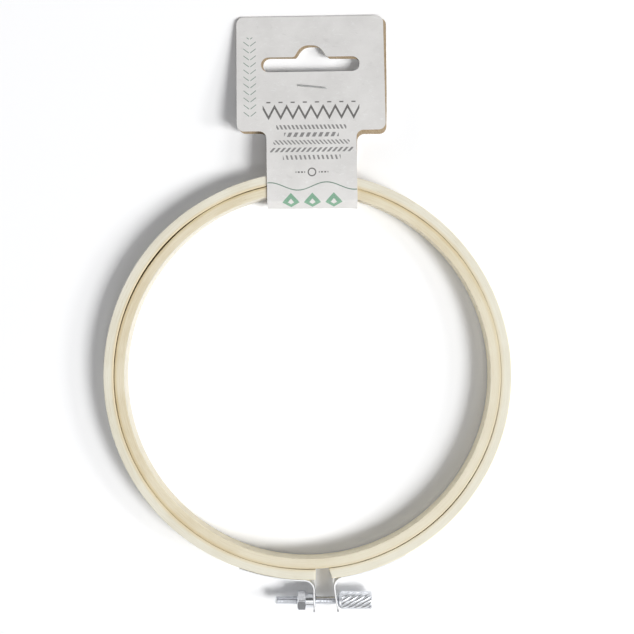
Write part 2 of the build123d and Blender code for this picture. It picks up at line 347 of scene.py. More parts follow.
def rounded_ends(angles, radius):
    """The rows' angles with more of them at both ends, and how far each row's section shrinks."""
    lead = END_ROUNDING / radius
    slants = [math.radians(k) for k in (90, 60, 30)]
    steps = [lead * (1 - math.sin(k)) for k in slants]
    shrinks = [END_ROUNDING * (1 - math.cos(k)) for k in slants]
    first, last = angles[0], angles[-1]
    middle = np.linspace(first + lead, last - lead, len(angles))
    head = [first + step for step in steps]
    tail = [last - step for step in reversed(steps)]
    return np.concatenate((head, middle, tail)), [*shrinks, *[0.0] * len(middle), *reversed(shrinks)]


def cut_to_ends(turn, r, share, radius, places, ends):
    """Turns a row's points so that both end faces are cut at their x, at the inner and outer wall."""
    angle = turn[0]
    for place, (near, far) in zip(places, ends):
        wanted = np.arcsin((near + (far - near) * share) / r)
        middle = math.asin((near + far) / 2 / radius)
        turn = turn + (wanted - middle) * max(0.0, 1 - abs(angle - place) / END_REACH)
    return turn


def ring_strip(name, radius, width, angles, ends, drift, swell, rise):
    """A bent strip of wood. ends gives the end faces' x at the inner and outer wall, or None if closed."""
    height = ring_top - ring_base
    section = rounded_section(width, height, EDGE_RADIUS)
    insets = [0.0] * len(angles)
    if ends:
        angles, insets = rounded_ends(angles, radius)
    rows = []
    for angle, inset in zip(angles, insets):
        local = section * np.array((1 - 2 * inset / width, 1 - 2 * inset / height))
        r = radius + drift(angle) + local[:, 0] * (1 + swell(angle))
        z = ring_middle + local[:, 1] + rise(angle) * local[:, 1] / height
        turn = np.full(len(r), angle)
        if ends:
            turn = cut_to_ends(turn, r, local[:, 0] / width + 0.5, radius, (angles[0], angles[-1]), ends)
        rows.append(np.stack((r * np.cos(turn), r * np.sin(turn), z), 1))
    points = np.concatenate(rows)
    columns = len(section)
    faces = grid_faces(len(rows), columns, close_rows=not ends)
    if ends:
        faces.append(tuple(range(columns)))
        faces.append(tuple(reversed(range(len(points) - columns, len(points)))))
    return mesh_object(name, points, faces)


# Shader arithmetic
class Term:
    """A number in a material's node tree, which Python's own arithmetic works on."""

    def __init__(self, tree, socket):
        self.tree, self.socket = tree, socket

    def math(self, kind, *others):
        node = self.tree.nodes.new("ShaderNodeMath")
        node.operation = kind
        for slot, value in zip(node.inputs, (self, *others)):
            plug(self.tree, slot, value)
        return Term(self.tree, node.outputs[0])

    def __add__(self, other):
        return self.math("ADD", other)

    def __sub__(self, other):
        return self.math("SUBTRACT", other)

    def __mul__(self, other):
        return self.math("MULTIPLY", other)

    def __truediv__(self, other):
        return self.math("DIVIDE", other)

    def highest(self, other):
        return self.math("MAXIMUM", other)

    def size(self):
        return self.math("ABSOLUTE")

    def part(self):
        return self.math("FRACT")

    def ramp(self, low, high, to_low=0.0, to_high=1.0):
        """Goes smoothly from to_low at low to to_high at high."""
        node = self.tree.nodes.new("ShaderNodeMapRange")
        node.interpolation_type = "SMOOTHSTEP"
        for slot, value in zip(node.inputs, (self, low, high, to_low, to_high)):
            plug(self.tree, slot, value)
        return Term(self.tree, node.outputs[0])


def plug(tree, slot, value):
    """Links a term or socket into a slot, or sets the slot's own value."""
    if isinstance(value, Term):
        tree.links.new(value.socket, slot)
    elif isinstance(value, bpy.types.NodeSocket):
        tree.links.new(value, slot)
    else:
        slot.default_value = value


def linear(colour):
    """A colour as a screen shows it, in parts of 255, as the linear values that shaders use."""
    parts = [c / 255 for c in colour]
    return tuple(c / 12.92 if c <= 0.04045 else ((c + 0.055) / 1.055) ** 2.4 for c in parts) + (1.0,)


def new_material(name):
    material = bpy.data.materials.new(name)
    material.use_nodes = True
    return material, material.node_tree, material.node_tree.nodes["Principled BSDF"]


def pattern_axes(tree, from_object=False):
    """The stored pattern place, or the object's own place, as three terms and the vector socket."""
    if from_object:
        vector = tree.nodes.new("ShaderNodeTexCoord").outputs["Object"]
    else:
        attribute = tree.nodes.new("ShaderNodeAttribute")
        attribute.attribute_name = "pattern"
        vector = attribute.outputs["Vector"]
    split = tree.nodes.new("ShaderNodeSeparateXYZ")
    tree.links.new(vector, split.inputs[0])
    return [Term(tree, out) for out in split.outputs], vector


def combine(tree, x, y, z):
    node = tree.nodes.new("ShaderNodeCombineXYZ")
    for slot, value in zip(node.inputs, (x, y, z)):
        plug(tree, slot, value)
    return node.outputs[0]


def noise(tree, vector, scale, detail=2.0, roughness=0.5, distortion=0.0):
    node = tree.nodes.new("ShaderNodeTexNoise")
    tree.links.new(vector, node.inputs["Vector"])
    node.inputs["Scale"].default_value = scale
    node.inputs["Detail"].default_value = detail
    node.inputs["Roughness"].default_value = roughness
    node.inputs["Distortion"].default_value = distortion
    return Term(tree, node.outputs[0])


def blend_colours(tree, share, first, second, kind="MIX"):
    node = tree.nodes.new("ShaderNodeMix")
    node.data_type = "RGBA"
    node.blend_type = kind
    plug(tree, node.inputs["Factor"], share)
    plug(tree, node.inputs[6], first)
    plug(tree, node.inputs[7], second)
    return node.outputs[2]


def add_bump(tree, shader, height, distance, strength=1.0):
    bump = tree.nodes.new("ShaderNodeBump")
    bump.inputs["Strength"].default_value = strength
    bump.inputs["Distance"].default_value = distance
    plug(tree, bump.inputs["Height"], height)
    tree.links.new(bump.outputs[0], shader.inputs["Normal"])


# Materials
def strands(tree, place, along, across, detail, roughness):
    """Noise drawn out round the ring: slow along the strip, fine across it."""
    round_x, round_y, layer = place
    stretched = combine(tree, round_x * along, round_y * along, layer * across)
    return noise(tree, stretched, 1.0, detail, roughness)


def seam_shading(tree, colour, towards_seam, seam, z, seam_tint):
    """Warms the wood next to the seam, and paints shade on the wall down in the seam."""
    nearness = towards_seam.ramp(seam - 1.3 * MM, seam - 0.05 * MM) * 0.75
    colour = blend_colours(tree, nearness, colour, linear(seam_tint), "MULTIPLY")
    # Painted shade on the wall down in the seam, below its top edge
    painted_seam_shade = towards_seam.ramp(seam - 0.2 * MM, seam - 0.1 * MM)
    below_edge = z.ramp(ring_top - 0.55 * MM, ring_top - 0.25 * MM, 1.0, 0.0)
    return blend_colours(tree, painted_seam_shade * below_edge * 0.9, colour, linear(SEAM_SHADE), "MULTIPLY")


def paint_side_light(tree, colour, round_x, round_y, from_wall):
    """Paints light: cooler, paler wood on the lower right side toward the key lamp, and the open wall in a
    lit tint at the upper left and a shaded tint elsewhere, as the inner ring's wall faces the lamps.
    """
    # Painted light: the side toward the key lamp is tinted cooler and paler
    lit_side = (round_x * 0.6 + round_y * -0.5).ramp(-0.2, 0.8) * 0.45
    colour = blend_colours(tree, lit_side, colour, linear(LIT_SIDE_TINT))
    # Painted light and shade on the open wall: the lit tint at the upper left, the shaded tint elsewhere
    lit_wall_side = (round_x * -0.85 + round_y * 0.5).ramp(-0.1, 0.9)
    painted_wall_colour = blend_colours(tree, lit_wall_side, linear(SHADED_WALL_TINT), linear(LIT_WALL_TINT))
    wall = from_wall.ramp(0.12 * MM, 0.3 * MM, 1.0, 0.0)
    return blend_colours(tree, wall * 0.9, colour, painted_wall_colour)


def bamboo(name, wood, seam_radius, seam_side, wall_radius):
    """Sanded bamboo: fine fibres round the ring, slow patches, a warm strip at the seam with painted shade
    down in it, painted light on the side toward the key lamp, and a pale wall painted lit and shaded.
    """
    material, tree, shader = new_material(name)
    pale, deep, seam_tint = wood
    (x, y, z), vector = pattern_axes(tree)
    radius = (x * x + y * y).math("SQRT")
    round_x, round_y = x / radius, y / radius
    place = (round_x, round_y, radius + z * FIBRE_SLANT)
    fibre = strands(tree, place, *FIBRES)
    pores = strands(tree, place, *PORES)
    patches = noise(tree, vector, 75.0)
    grain = (fibre * 0.62 + pores * 0.38).ramp(0.36, 0.66)
    tone = grain * 0.6 + patches.ramp(0.35, 0.65) * 0.4
    colour = blend_colours(tree, tone, linear(pale), linear(deep))
    streaks = pores.ramp(0.66, 0.74) * fibre.ramp(0.45, 0.6) * 0.5
    colour = blend_colours(tree, streaks, colour, linear(STREAK))
    colour = seam_shading(tree, colour, radius * seam_side, seam_radius * seam_side, z, seam_tint)
    colour = paint_side_light(tree, colour, round_x, round_y, (radius - wall_radius) * seam_side)
    plug(tree, shader.inputs["Base Color"], colour)
    plug(tree, shader.inputs["Roughness"], grain * 0.12 + 0.5)
    shader.inputs["Specular IOR Level"].default_value = 0.3
    add_bump(tree, shader, fibre * 0.7 + pores * 0.3, 0.03 * MM, 0.5)
    return material


def plated_steel(name, tint, roughness, brushed, cloudiness, tip_y=None):
    """Bright plated steel: a little cloudy, with fine drawing marks, and painted shade on the lug's tip
    beyond tip_y.
    """
    material, tree, shader = new_material(name)
    (x, y, z), vector = pattern_axes(tree, from_object=True)
    marks = noise(tree, combine(tree, x * brushed[0], y * brushed[1], z * brushed[2]), MARK_SCALE)
    clouds = noise(tree, vector, CLOUD_SCALE, 3.0, 0.6)
    cloud_tint = linear([0.88 * c for c in tint])
    colour = blend_colours(tree, clouds.ramp(0.3, 0.75) * cloudiness, linear(tint), cloud_tint)
    if tip_y is not None:
        # Painted shade: the lugs' tips are darkened towards their ends
        dark_tip = y.ramp(tip_y, tip_y + 1.2 * MM, 1.0, 0.0)
        colour = blend_colours(tree, dark_tip * 0.85, colour, linear(TIP_SHADE_PAINT))
    plug(tree, shader.inputs["Base Color"], colour)
    shader.inputs["Metallic"].default_value = 1.0
    plug(tree, shader.inputs["Roughness"], clouds * (0.14 * cloudiness) + marks * 0.09 + (roughness - 0.1))
    add_bump(tree, shader, marks * 0.8 + clouds * 0.2, 0.008 * MM, 0.3)
    return material


def kraft(name):
    """Brown card, as its inner side and cut edges show it."""
    material, tree, shader = new_material(name)
    (x, y, z), vector = pattern_axes(tree, from_object=True)
    fibres = noise(tree, combine(tree, x, y * 0.3, z), 2600.0, 4.0, 0.65, 0.6)
    flecks = noise(tree, vector, 1900.0)
    colour = blend_colours(tree, fibres.ramp(0.3, 0.7), linear(KRAFT_PALE), linear(KRAFT_DEEP))
    colour = blend_colours(tree, flecks.ramp(0.68, 0.75) * 0.5, colour, linear(KRAFT_FLECK))
    plug(tree, shader.inputs["Base Color"], colour)
    shader.inputs["Roughness"].default_value = 0.85
    shader.inputs["Specular IOR Level"].default_value = 0.2
    add_bump(tree, shader, fibres, 0.04 * MM, 0.6)
    return material


def in_mm(*values):
    return [value * MM for value in values]


def strongest(masks):
    """The highest of several masks."""
    first, *others = masks
    for mask in others:
        first = first.highest(mask)
    return first


def stroke(distance, half_width, softness=0.05 * MM):
    """1 on a line of this half width, 0 off it, from the distance to its middle."""
    return distance.ramp(half_width - softness, half_width + softness, 1.0, 0.0)


def within(value, low, high):
    """1 between two limits and 0 outside them."""
    return stroke((value - (low + high) / 2).size(), (high - low) / 2)


def zigzag_row(u, v, level, half_length, height, period, half_width):
    """A zigzag stitch across the card."""
    fold = ((u / period).part() - 0.5).size() * 2.0 - 0.5
    slope = math.hypot(1.0, 2 * height / period)
    distance = ((v - level) - fold * height).size() / slope
    return stroke(distance, half_width) * within(u, -half_length, half_length)


def dash_row(u, v, level, half_length, height, period, share, lean=0.0):
    """A row of running stitches across the card, upright or leaning."""
    along = ((u + (v - level) * lean) / period).part()
    dash = (along - 0.5).size().ramp(share / 2 - 0.04, share / 2 + 0.04, 1.0, 0.0)
    return dash * stroke((v - level).size(), height / 2) * within(u, -half_length, half_length)


def chevron_column(u, v, middle, half_width, low, high, period, half_stroke):
    """A column of V stitches up the card."""
    side = (u - middle).size()
    phase = ((v - side * 0.8) / period).part()
    line = (phase - 0.5).size() * period
    gap = within(side, 0.25 * MM, half_width)
    return stroke(line, half_stroke) * gap * within(v, low, high)


def diamond(u, v, middle, level, half_width, half_height):
    """A filled diamond with a pale core."""
    spread = (u - middle).size() / half_width + (v - level).size() / half_height
    return spread.ramp(0.97, 1.03, 1.0, 0.0) * spread.ramp(0.34, 0.4)


def small_ring(u, v, level):
    """A small ring with a short row of stitches on each side."""
    height = v - level
    ring = stroke(((u * u + height * height).math("SQRT") - 1.25 * MM).size(), 0.2 * MM)
    stitches = dash_row(u.size() - 3.9 * MM, v, level, *in_mm(1.6, 0.5, 1.1), 0.6)
    return ring.highest(stitches)


def wavy_thread(u, v, level, half_length):
    """One long wavy line across the card."""
    curve = (u * 330.0).math("SINE") * (1.3 * MM) + level
    return stroke((v - curve).size(), 0.17 * MM) * within(u, -half_length, half_length)


def stitch_sampler(u, v):
    """The card's print: each motif's mask with its ink."""
    title = zigzag_row(u, v, *in_mm(35.2, 16.3, 3.9, 4.1, 0.33))
    title = title.highest(dash_row(u, v, *in_mm(38.6, 16.3, 0.45, 4.1), 0.34))
    lines = strongest(dash_row(u, v, *in_mm(*sizes), share, lean) for *sizes, share, lean in DASH_ROWS)
    column = chevron_column(u, v, *in_mm(-20.6, 2.1, 33.0, 62.0, 2.5, 0.15))
    leaves = strongest(diamond(u, v, *in_mm(middle, 4.6, 2.9, 3.1)) for middle in (-7.2, 0.0, 7.2))
    return (
        (title, INK_DARK),
        (lines, INK_GREY),
        (small_ring(u, v, 14.6 * MM), INK_DARK),
        (wavy_thread(u, v, 9.9 * MM, 15.0 * MM), INK_DEEP_GREEN),
        (column, INK_DEEP_GREEN),
        (leaves, INK_GREEN),
    )


def printed_card(name):
    """Pale grey printed card with faint fibres and a stitch sampler in grey and green."""
    material, tree, shader = new_material(name)
    (u, v, side), vector = pattern_axes(tree)
    slow = noise(tree, vector, 90.0, 3.0, 0.6)
    wisps = noise(tree, combine(tree, u * 0.55, v, side), 620.0, 5.0, 0.7, 1.4)
    fine = noise(tree, vector, 4200.0)
    tone = slow.ramp(0.3, 0.7) * 0.55 + fine * 0.3
    colour = blend_colours(tree, tone, linear(CARD_PALE), linear(CARD_SHADE))
    colour = blend_colours(tree, wisps.ramp(0.55, 0.7) * 0.6, colour, linear(LIGHT_FIBRE))
    colour = blend_colours(tree, wisps.ramp(0.42, 0.3) * 0.2, colour, linear(DARK_FIBRE))
    front = side.ramp(0.4, 0.6)
    wear = fine.ramp(0.3, 0.55) * 0.25 + 0.75
    for mask, ink in stitch_sampler(u, v):
        colour = blend_colours(tree, mask * front * wear * 0.9, colour, linear(ink))
    plug(tree, shader.inputs["Base Color"], colour)
    plug(tree, shader.inputs["Roughness"], fine * 0.1 + 0.6)
    shader.inputs["Specular IOR Level"].default_value = 0.25
    add_bump(tree, shader, fine * 0.6 + wisps * 0.4, 0.02 * MM, 0.45)
    return material


# The rings' pieces
def make_inner_ring():
    inner = ring_strip(
        "inner_ring_bent", (inner_inside + inner_outside) / 2, INNER_WALL,
        np.linspace(0, TAU, RING_STEPS, endpoint=False), None,
        seam_closing,
        lambda a: wave(a, *INNER_SWELL),
        lambda a: wave(a, *INNER_RISE) - RING_SINK,
    )
    inner.data.materials.append(bamboo("inner_bamboo", INNER_WOOD, inner_outside, 1.0, inner_inside))
    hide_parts("inner_ring")
    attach(inner, "inner_ring")


def make_outer_ring():
    """One springy strip, split at the clamp, made as a single mesh in place of the frame's two halves."""
    radius = (outer_inside + outer_outside) / 2
    start = -math.pi / 2 + math.asin(sum(RIGHT_END) / 2 / radius)
    end = 3 * math.pi / 2 + math.asin(sum(LEFT_END) / 2 / radius)
    outer = ring_strip(
        "outer_ring_bent", radius, OUTER_WALL, np.linspace(start, end, RING_STEPS),
        (RIGHT_END, LEFT_END),
        lambda a: -seam_closing(a),
        lambda a: wave(a, *OUTER_SWELL),
        lambda a: wave(a, *OUTER_RISE) - RING_SINK,
    )
    outer.data.materials.append(bamboo("outer_bamboo", OUTER_WOOD, outer_inside, -1.0, outer_outside))
    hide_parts("outer_ring_right", "outer_ring_left")
    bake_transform(outer)


# The hang card's bent line
def filleted(points, radii, turn_step=math.radians(8), run_step=2 * MM):
    """A line through the points with round corners, sampled closely on its arcs and widely on its runs."""
    points = [np.array(p, float) for p in points]
    line = [points[0]]
    for before, corner, after, radius in zip(points, points[1:], points[2:], radii):
        to_before = (before - corner) / np.linalg.norm(before - corner)
        to_after = (after - corner) / np.linalg.norm(after - corner)
        turn = math.pi - math.acos(np.clip(to_before @ to_after, -1, 1))
        tangent = radius * math.tan(turn / 2)
        middle = to_before + to_after
        centre = corner + middle / np.linalg.norm(middle) * radius / math.cos(turn / 2)
        start, end = corner + to_before * tangent, corner + to_after * tangent
        first = math.atan2(*(start - centre)[::-1])
        sweep = (math.atan2(*(end - centre)[::-1]) - first + math.pi) % TAU - math.pi
        steps = max(2, math.ceil(abs(sweep) / turn_step))
        for step in range(steps + 1):
            angle = first + sweep * step / steps
            line.append(centre + radius * np.array((math.cos(angle), math.sin(angle))))
    line.append(points[-1])
    fine = [line[0]]
    for point in line[1:]:
        run = np.linalg.norm(point - fine[-1])
        steps = max(1, math.ceil(run / run_step))
        first = fine[-1]
        fine += [first + (point - first) * step / steps for step in range(1, steps + 1)]
    return np.array(fine)


def card_lines():
    """The card's middle line, as distance from the fold and height: the front's and the back's."""
    step = CARD_THICKNESS + CARD_GAP
    high = ring_top + CARD_GAP + CARD_THICKNESS / 2
    low = CARD_THICKNESS / 2
    level_end = outer_outside + NECK_OVERRUN - fold_y
    knee = CARD_LENGTH - STAPLE_FROM_EDGE - STAPLE_PAST_KNEE
    back_knee = low + (knee - level_end - LIFT_RUN) * math.tan(BACK_RISE)
    front = (
        (0, ring_middle), (0, ring_middle + BLUNT_FOLD / 2), (CREASE_DEPTH, high), (level_end, high),
        (knee, back_knee + step), (CARD_LENGTH, low + step),
    )
    back = (
        (0, ring_middle), (0, ring_middle - BLUNT_FOLD / 2), (CREASE_DEPTH, low),
        (level_end + LIFT_RUN, low), (knee, back_knee), (CARD_LENGTH, low),
    )
    radii = (CREASE_RADIUS, CREASE_RADIUS, SHOULDER_BEND, KNEE_RADIUS)
    return filleted(front, radii), filleted(back, radii)


def card_outline(length):
    """Half of the cut card from the fold outwards, as x and distance from the fold."""
    neck, head, shoulder = NECK_WIDTH / 2, HEAD_WIDTH / 2, length - HEAD_LENGTH
    corners = ((-neck, 0), (-neck, shoulder), (-head, shoulder), (-head, length),
               (head, length), (head, shoulder), (neck, shoulder), (neck, 0))
    return filleted(corners, [CORNER_RADIUS] * 6, math.radians(15), 1 * MM)


def slot_outline(level):
    """The hang slot with its arch, as x and distance from the fold."""
    half, end = SLOT_HEIGHT / 2, SLOT_LENGTH / 2 - SLOT_HEIGHT / 2
    top = level + half
    arch = filleted(
        ((end, top), (ARCH_FOOT, top), (ARCH_SHOULDER, top + ARCH_RISE),
         (-ARCH_SHOULDER, top + ARCH_RISE), (-ARCH_FOOT, top), (-end, top)),
        (ARCH_ROOT, ARCH_RADIUS, ARCH_RADIUS, ARCH_ROOT), math.radians(10), 1.5 * MM,
    )
    turns = [math.radians(15 * k) for k in range(1, 12)]
    left = [(-end - half * math.sin(t), level + half * math.cos(t)) for t in turns]
    bottom = [(-end + 2 * end * k / 20, level - half) for k in range(21)]
    right = [(end + half * math.sin(t), level - half * math.cos(t)) for t in turns]
    return np.array([*map(tuple, arch), *left, *bottom, *right])


def lengths_along(line):
    return np.concatenate(([0], np.cumsum(np.linalg.norm(np.diff(line, axis=0), axis=1))))


def with_rows(loop, rows):
    """The loop with a point wherever it crosses one of the bend rows."""
    out = []
    for a, b in zip(loop, np.roll(loop, -1, axis=0)):
        out.append(a)
        if abs(b[1] - a[1]) > 1e-9:
            shares = sorted((row - a[1]) / (b[1] - a[1]) for row in rows)
            out += [a + (b - a) * share for share in shares if 0.02 < share < 0.98]
    return np.array(out)


def inside(points, loop):
    """Which points lie inside a closed loop."""
    x, y = points[:, 0], points[:, 1]
    crossings = np.zeros(len(points), dtype=int)
    for (ax, ay), (bx, by) in zip(loop, np.roll(loop, -1, axis=0)):
        spans = (ay > y) != (by > y)
        if spans.any():
            crossings[spans] += x[spans] < ax + (y[spans] - ay) * (bx - ax) / (by - ay)
    return crossings % 2 == 1


def triangulated(edge, holes, rows, columns):
    """Points and triangles of a flat sheet with holes, split along the bend rows."""
    loops = [with_rows(loop, rows) for loop in (edge, *holes)]
    links, count = [], 0
    for loop in loops:
        links += [(count + k, count + (k + 1) % len(loop)) for k in range(len(loop))]
        count += len(loop)
    border = np.concatenate(loops)
    grid = np.array([(x, row) for row in rows for x in columns])
    grid = grid[inside(grid, edge)]
    clear = np.array([np.hypot(*(border - point).T).min() > GRID_CLEARANCE for point in grid])
    plane = np.concatenate((border, grid[clear])) / MM
    solved = delaunay_2d_cdt([Vector(point) for point in plane], links, [], 1, 1e-5)
    points = np.array([tuple(point) for point in solved[0]]) * MM
    triangles = np.array([tuple(face) for face in solved[2]])
    middles = points[triangles].mean(axis=1)
    kept = inside(middles, edge)
    for hole in holes:
        kept &= ~inside(middles, hole)
    used, places = np.unique(triangles[kept], return_inverse=True)
    return points[used], places.reshape(-1, 3)


def bent(x, s, offset, whole, run, back):
    """Places of the unrolled card's points, on the layer at an offset from its middle."""
    share = np.clip((s + TURN_REACH) / (2 * TURN_REACH), 0, 1)
    turn = CARD_TURN + (BACK_TURN - CARD_TURN) * share * share * (3 - 2 * share)
    tangent = np.gradient(whole, run, axis=0)
    outward = np.stack((tangent[:, 1], -tangent[:, 0]), 1)
    normal = np.stack([np.interp(s, run, outward[:, k]) for k in (0, 1)], 1)
    normal /= np.linalg.norm(normal, axis=1)[:, None]
    away = np.interp(s, run, whole[:, 0])
    turned = away * math.cos(BACK_TURN - CARD_TURN) + x * math.sin(BACK_TURN - CARD_TURN)
    level = np.where(s > TURN_REACH, np.interp(turned, *back[4:].T), np.interp(s, run, whole[:, 1]))
    out = np.clip(np.abs(s) / CARD_LENGTH - BOW_START, 0, 1)
    level = level + CARD_BOW * np.sin(np.abs(s) / CARD_LENGTH * BOW_WAVE + x / BOW_ACROSS) * out
    away, level = away + normal[:, 0] * offset, level + normal[:, 1] * offset
    px = CARD_SHIFT + x * np.cos(turn) - away * np.sin(turn)
    py = fold_y + x * np.sin(turn) + away * np.cos(turn)
    return np.stack((px, py, level), 1)


def make_card():
    front, back = card_lines()
    front_run, back_run = lengths_along(front), lengths_along(back)
    whole = np.concatenate((front[::-1], back[1:]))
    run = np.concatenate((-front_run[::-1], back_run[1:]))

    def unrolled(points, line, line_run, side):
        beyond = np.interp(points[:, 1], line[4:, 0], line_run[4:])
        return np.stack((points[:, 0], np.where(points[:, 1] <= 0, 0, side * beyond)), 1)

    edge = np.concatenate((
        unrolled(card_outline(CARD_LENGTH), front, front_run, -1),
        unrolled(card_outline(CARD_LENGTH - BACK_SHORTFALL), back, back_run, 1)[-2:0:-1],
    ))
    level = CARD_LENGTH - SLOT_FROM_EDGE
    slots = (
        unrolled(slot_outline(level), front, front_run, -1),
        unrolled(slot_outline(level - BACK_SHORTFALL), back, back_run, 1),
    )
    columns = np.linspace(-HEAD_WIDTH / 2, HEAD_WIDTH / 2, CARD_COLUMNS)
    flat, triangles = triangulated(edge, slots, run, columns)
    x, s = flat.T
    sides = [bent(x, s, offset, whole, run, back) for offset in (CARD_THICKNESS / 2, -CARD_THICKNESS / 2)]
    outer = triangles.tolist()
    inner = (triangles[:, ::-1] + len(flat)).tolist()
    directed = {(t[k], t[(k + 1) % 3]) for t in outer for k in range(3)}
    border = sorted((a, b) for a, b in directed if (b, a) not in directed)
    walls = [(b, a, len(flat) + a, len(flat) + b) for a, b in border]
    pattern = np.concatenate([np.stack((x, np.abs(s), np.where(s < 0, 1.0, 0.0)), 1)] * 2)
    card = mesh_object("hang_card_folded", np.concatenate(sides), outer + inner + walls, pattern, 35.0)
    card.data.materials.append(printed_card("printed_paperboard"))
    card.data.materials.append(kraft("brown_paperboard"))
    sheets = np.ones(len(card.data.polygons), dtype=np.int32)
    sheets[:len(outer)] = 0
    card.data.polygons.foreach_set("material_index", sheets)
    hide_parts("hang_card")
    blend_card(card)
    return front


def blend_card(piece):
    """Bakes the piece's placement into its mesh."""
    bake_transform(piece)


# Round pieces about the screw's axis
def turned(stations, steps, radius_at):
    """Points of a turned piece: each station is x and a nominal radius, which radius_at shapes."""
    angles = np.arange(steps) * TAU / steps
    rows = []
    for x, radius in stations:
        r = radius_at(x, radius, angles) * np.ones(steps)
        y, z = screw_y + r * np.cos(angles), screw_z + r * np.sin(angles)
        rows.append(np.stack((np.full(steps, x), y, z), 1))
    return rows


def capped(rows):
    """Points and faces of a round piece, closed at both ends."""
    steps = len(rows[0])
    points = np.concatenate(rows)
    faces = [tuple(reversed(f)) for f in grid_faces(len(rows), steps)]
    faces.append(tuple(range(steps)))
    faces.append(tuple(reversed(range(len(points) - steps, len(points)))))
    return points, faces


def make_screw(material):
    head_end = screw_high.x
    head_start = head_end - KNURL_LENGTH
    cone_start = head_start - CONE_LENGTH
    tail = screw_low.x

    def threaded(x, radius, angles):
        phase = (x / THREAD_PITCH - angles / TAU) % 1.0
        groove = np.clip(THREAD_FILL - np.abs(phase - 0.5) * THREAD_SLOPE, 0, 1)
        shank = SCREW_RADIUS - THREAD_DEPTH * groove
        end = SCREW_RADIUS - max(0.0, SCREW_CHAMFER - (x - tail))
        return np.minimum(shank, end)

    def plain(x, radius, angles):
        return radius

    def knurled(x, radius, angles):
        phase = (KNURL_COUNT * (angles / TAU + (x - head_start) / KNURL_LEAD)) % 1.0
        groove = np.clip(1 - np.abs(phase - 0.5) / KNURL_HALF_GROOVE, 0, 1) ** KNURL_CURVE
        end = KNURL_RADIUS - max(0.0, KNURL_CHAMFER - min(x - head_start, head_end - x))
        return np.minimum(KNURL_RADIUS - KNURL_DEPTH * groove, end)

    shank_end = cone_start + CONE_LENGTH / 2
    count = int((shank_end - tail) / THREAD_PITCH * THREAD_ROWS)
    shank_stations = [(tail + (shank_end - tail) * k / count, 0) for k in range(count + 1)]
    cone_stations = [
        (cone_start, CONE_SMALL_RADIUS * 0.92),
        (cone_start + 0.05 * MM, CONE_SMALL_RADIUS),
        (head_start - 0.05 * MM, CONE_LARGE_RADIUS),
        (head_start + 0.15 * MM, CONE_LARGE_RADIUS),
    ]
    head_stations = [(head_start + KNURL_LENGTH * k / KNURL_ROWS, 0) for k in range(KNURL_ROWS + 1)]
    shank = turned(shank_stations, THREAD_STEPS, threaded)
    cone = turned(cone_stations, CONE_STEPS, plain)
    head = turned(head_stations, KNURL_STEPS, knurled)
    points, faces = [], []
    for rows in (shank, cone, head):
        more, more_faces = capped(rows)
        offset = sum(len(p) for p in points)
        points.append(more)
        faces += [tuple(offset + k for k in f) for f in more_faces]
    screw = mesh_object("thumb_screw_turned", np.concatenate(points), faces, sharp_angle=50.0)
    screw.data.materials.append(material)
    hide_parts("thumb_screw")
    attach(screw, "thumb_screw")


def hexagon_radius(x, radius, angles):
    """The nut's outside: a station's own radius, or the chamfered hexagon where it has none."""
    if radius > 0:
        return radius
    hex_end = nut_low.x + NUT_LENGTH
    corner = NUT_FLATS / 2 / math.cos(math.pi / 6) - NUT_BLUNTNESS
    beside = (angles - math.pi / 2 + NUT_TURN + math.pi / 6) % (math.pi / 3) - math.pi / 6
    flat = NUT_FLATS / 2 / np.cos(math.pi / 6 - np.abs(beside))
    near = corner - max(0.0, NUT_CHAMFER - (x - nut_low.x)) * NUT_CHAMFER_SLOPE
    far = corner - max(0.0, NUT_BACK_CHAMFER - (hex_end - x)) * NUT_BACK_SLOPE
    return np.minimum(flat, min(near, far))


def nut_stations():
    """The nut's rows from its bore's left end, over the hexagon, shoulder, spigot and lip, and back."""
    left, right = nut_low.x, nut_high.x
    hex_end = left + NUT_LENGTH
    lug_right = right - LIP_LENGTH
    lug_left = lug_right - STRAP_THICKNESS
    bore = SCREW_RADIUS + THREAD_PLAY
    spigot = SPIGOT_RADIUS - 0.01 * MM
    between = NUT_LENGTH - NUT_CHAMFER - NUT_BACK_CHAMFER
    return [
        (left, bore + SOFT_EDGE),
        (left, NUT_FLATS / 2 * NUT_LEFT_FACE),
        *[(left + NUT_CHAMFER * k / 6, 0) for k in range(1, 7)],
        *[(left + NUT_CHAMFER + between * k / 4, 0) for k in range(1, 5)],
        *[(hex_end - NUT_BACK_CHAMFER * (1 - k / 4), 0) for k in range(1, 4)],
        (hex_end, NUT_FLATS / 2 * NUT_RIGHT_FACE),
        (hex_end, SHOULDER_RADIUS + SOFT_EDGE),
        (hex_end + SOFT_EDGE, SHOULDER_RADIUS),
        (lug_left - SOFT_EDGE, SHOULDER_RADIUS),
        (lug_left, SHOULDER_RADIUS - SOFT_EDGE),
        (lug_left, spigot),
        (lug_right, spigot),
        (lug_right, LIP_RADIUS - SOFT_EDGE / 2),
        (lug_right + LIP_LENGTH / 2, LIP_RADIUS),
        (right, LIP_RADIUS - SOFT_EDGE * 1.5),
        (right, bore + SOFT_EDGE),
        (right - SOFT_EDGE, bore),
        (left + SOFT_EDGE, bore),
    ]


def make_nut(material):
    rows = turned(nut_stations(), NUT_STEPS, hexagon_radius)
    faces = [tuple(reversed(f)) for f in grid_faces(len(rows), NUT_STEPS, close_rows=True)]
    nut = mesh_object("shoulder_nut_turned", np.concatenate(rows), faces, sharp_angle=25.0)
    nut.data.materials.append(material)
    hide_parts("shoulder_nut")
    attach(nut, "outer_ring_left")


